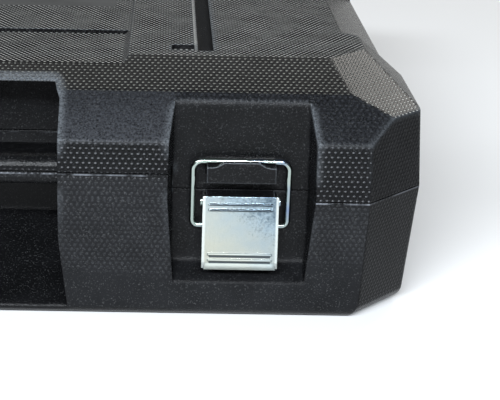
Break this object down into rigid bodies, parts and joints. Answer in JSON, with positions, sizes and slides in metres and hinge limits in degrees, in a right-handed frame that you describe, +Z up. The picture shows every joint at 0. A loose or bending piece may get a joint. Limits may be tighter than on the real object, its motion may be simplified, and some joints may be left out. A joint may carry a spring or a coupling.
{
  "type": "hard tool case",
  "caption": "Hard plastic tool case with a hinged lid, a carrying grip formed by both halves and wire draw latches at the front.",
  "frame": {"origin": "centre of the case's bounding box at its underside, lying flat", "axes": "+X towards the right-hand latch, -Y towards the grip and latches, +Z up through the lid"},
  "size_m": [0.47, 0.3661, 0.1055],
  "materials": {
    "shell": "textured",
    "zinc": "zinc plated"
  },
  "bodies": {
    "base": {"base": "shell", "hinge_pin_left": "zinc", "hinge_pin_right": "zinc", "latch_pin_left": "zinc", "latch_pin_right": "zinc"},
    "lid": {"lid": "shell"},
    "latch_lever_left": {"latch_lever_left": "zinc"},
    "latch_lever_right": {"latch_lever_right": "zinc"},
    "latch_bail_left": {"latch_bail_left": "zinc"},
    "latch_bail_right": {"latch_bail_right": "zinc"}
  },
  "joints": [
    {"name": "lid_hinge", "type": "hinge", "parent": "base", "child": "lid", "pos_m": [0, 0.178, 0.0557], "axis": [-1, 0, 0], "range_deg": [0, 180]},
    {"name": "lever_left", "type": "hinge", "parent": "base", "child": "latch_lever_left", "pos_m": [-0.157, -0.1734, 0.052], "axis": [1, 0, 0], "range_deg": [-95, 0]},
    {"name": "lever_right", "type": "hinge", "parent": "base", "child": "latch_lever_right", "pos_m": [0.157, -0.1734, 0.052], "axis": [1, 0, 0], "range_deg": [-95, 0]},
    {"name": "bail_left", "type": "hinge", "parent": "latch_lever_left", "child": "latch_bail_left", "pos_m": [-0.157, -0.1727, 0.041], "axis": [1, 0, 0], "range_deg": [0, 62]},
    {"name": "bail_right", "type": "hinge", "parent": "latch_lever_right", "child": "latch_bail_right", "pos_m": [0.157, -0.1727, 0.041], "axis": [1, 0, 0], "range_deg": [0, 62]}
  ],
  "couplings": [
    {"joint": "bail_left", "follows": "lever_left", "ratio": -0.65},
    {"joint": "bail_right", "follows": "lever_right", "ratio": -0.65}
  ]
}
